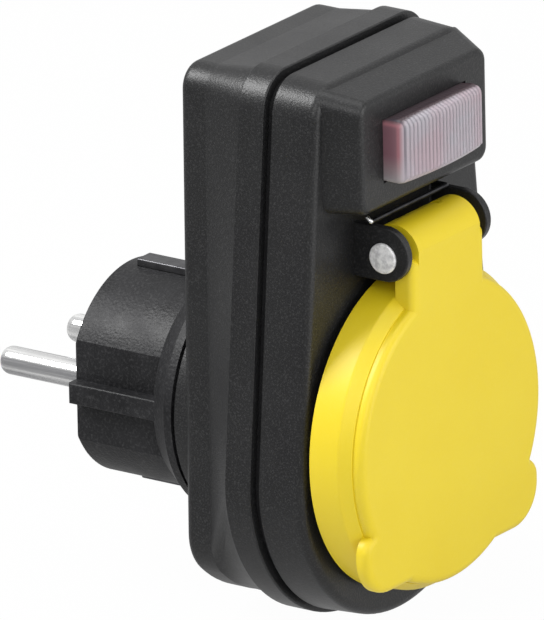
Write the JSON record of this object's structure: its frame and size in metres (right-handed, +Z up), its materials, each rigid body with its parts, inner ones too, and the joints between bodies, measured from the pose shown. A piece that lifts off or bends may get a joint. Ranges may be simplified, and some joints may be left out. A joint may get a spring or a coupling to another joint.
{
  "type": "switched socket adapter",
  "caption": "Outdoor plug-in socket adapter with a sprung hinged lid over its socket and a rocker switch under a soft ribbed cap.",
  "frame": {"origin": "middle of the plug's face, between its two pins", "axes": "+Y from the front towards the wall socket, along the pins; +Z up; +X to the right as seen from the front"},
  "size_m": [0.0586, 0.0838, 0.0982],
  "materials": {
    "housing_black": "fine moulded grain, satin",
    "plug_black": "fine moulded grain, satin",
    "seal_black": "soft, matt",
    "lid_yellow": "satin moulded",
    "cap_clear": "translucent silicone, ribbed",
    "rocker_red": "translucent",
    "insert_black": "satin",
    "plated_steel": "nickel plated",
    "pin_steel": "zinc plated",
    "contact_brass": "bright",
    "spring_steel": "drawn wire",
    "lamp_glass": "clear",
    "inner_white": "plain"
  },
  "bodies": {
    "housing": {"line_pin": "plated_steel", "neutral_pin": "plated_steel", "plug_body": "plug_black", "plug_earth_contacts": "plated_steel", "plug_seal": "seal_black", "rear_shell": "housing_black", "case_screws": "pin_steel", "shell_seal": "seal_black", "front_shell": "housing_black", "hinge_pin": "pin_steel", "lid_spring": "spring_steel", "socket_insert": "insert_black", "socket_earth_clips": "plated_steel", "earth_strap": "contact_brass", "line_contact": "contact_brass", "neutral_contact": "contact_brass", "neutral_link": "contact_brass", "live_lead_in": "contact_brass", "live_lead_out": "contact_brass", "switch_boot": "cap_clear", "boot_frame": "inner_white", "switch_housing": "inner_white", "pivot_terminal": "contact_brass", "fixed_contact": "contact_brass", "neon_lamp": "lamp_glass", "lamp_resistor": "inner_white"},
    "lid": {"lid": "lid_yellow", "lid_seal": "seal_black"},
    "rocker": {"rocker": "rocker_red", "plunger": "inner_white", "plunger_spring": "spring_steel"},
    "contact_blade": {"contact_blade": "contact_brass"}
  },
  "joints": [
    {"name": "lid_hinge", "type": "hinge", "parent": "housing", "child": "lid", "pos_m": [0, -0.05955, 0.0325], "axis": [-1, 0, 0], "range_deg": [0, 110], "stiffness_Nm_per_rad": 0.02, "springref_deg": -28.65},
    {"name": "rocker_tilt", "type": "hinge", "parent": "housing", "child": "rocker", "pos_m": [0, -0.0542, 0.05155], "axis": [0, 0, 1], "range_deg": [0, 12]},
    {"name": "blade_tilt", "type": "hinge", "parent": "housing", "child": "contact_blade", "pos_m": [0, -0.0456, 0.05155], "axis": [0, 0, 1], "range_deg": [-9, 0]}
  ],
  "couplings": [
    {"joint": "blade_tilt", "follows": "rocker_tilt", "ratio": -0.75}
  ]
}
